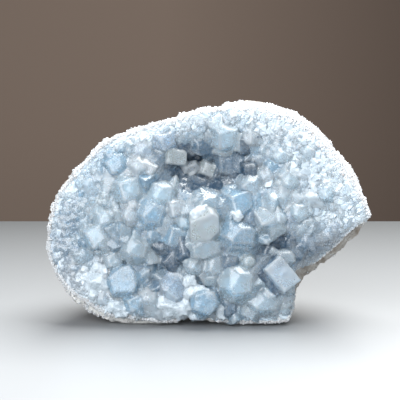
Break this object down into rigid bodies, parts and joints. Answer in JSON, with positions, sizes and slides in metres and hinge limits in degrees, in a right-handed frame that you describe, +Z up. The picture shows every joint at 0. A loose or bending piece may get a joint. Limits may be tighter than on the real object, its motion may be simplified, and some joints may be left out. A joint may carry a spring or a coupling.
{
  "type": "celestite geode",
  "caption": "Half of a celestite geode on a small flat spot, its open side lined with pale blue crystals, with a broken rim, a pointed right end and a rounded stone back.",
  "frame": {"origin": "on the table under the middle of the bounding box", "axes": "+Z up, +X to the right and -Y towards whoever looks at the crystals; the longest extent is along X"},
  "size_m": [0.139, 0.068, 0.0948],
  "materials": {
    "stone": "rough, pitted pale grey and tan rock with white sugary crystal along its broken rim",
    "crystal": "pale icy blue celestite crystals, milky and partly see-through, with frosted white edges"
  },
  "bodies": {
    "root": {"rind": "stone", "crystal_crust": "crystal"}
  },
  "joints": []
}
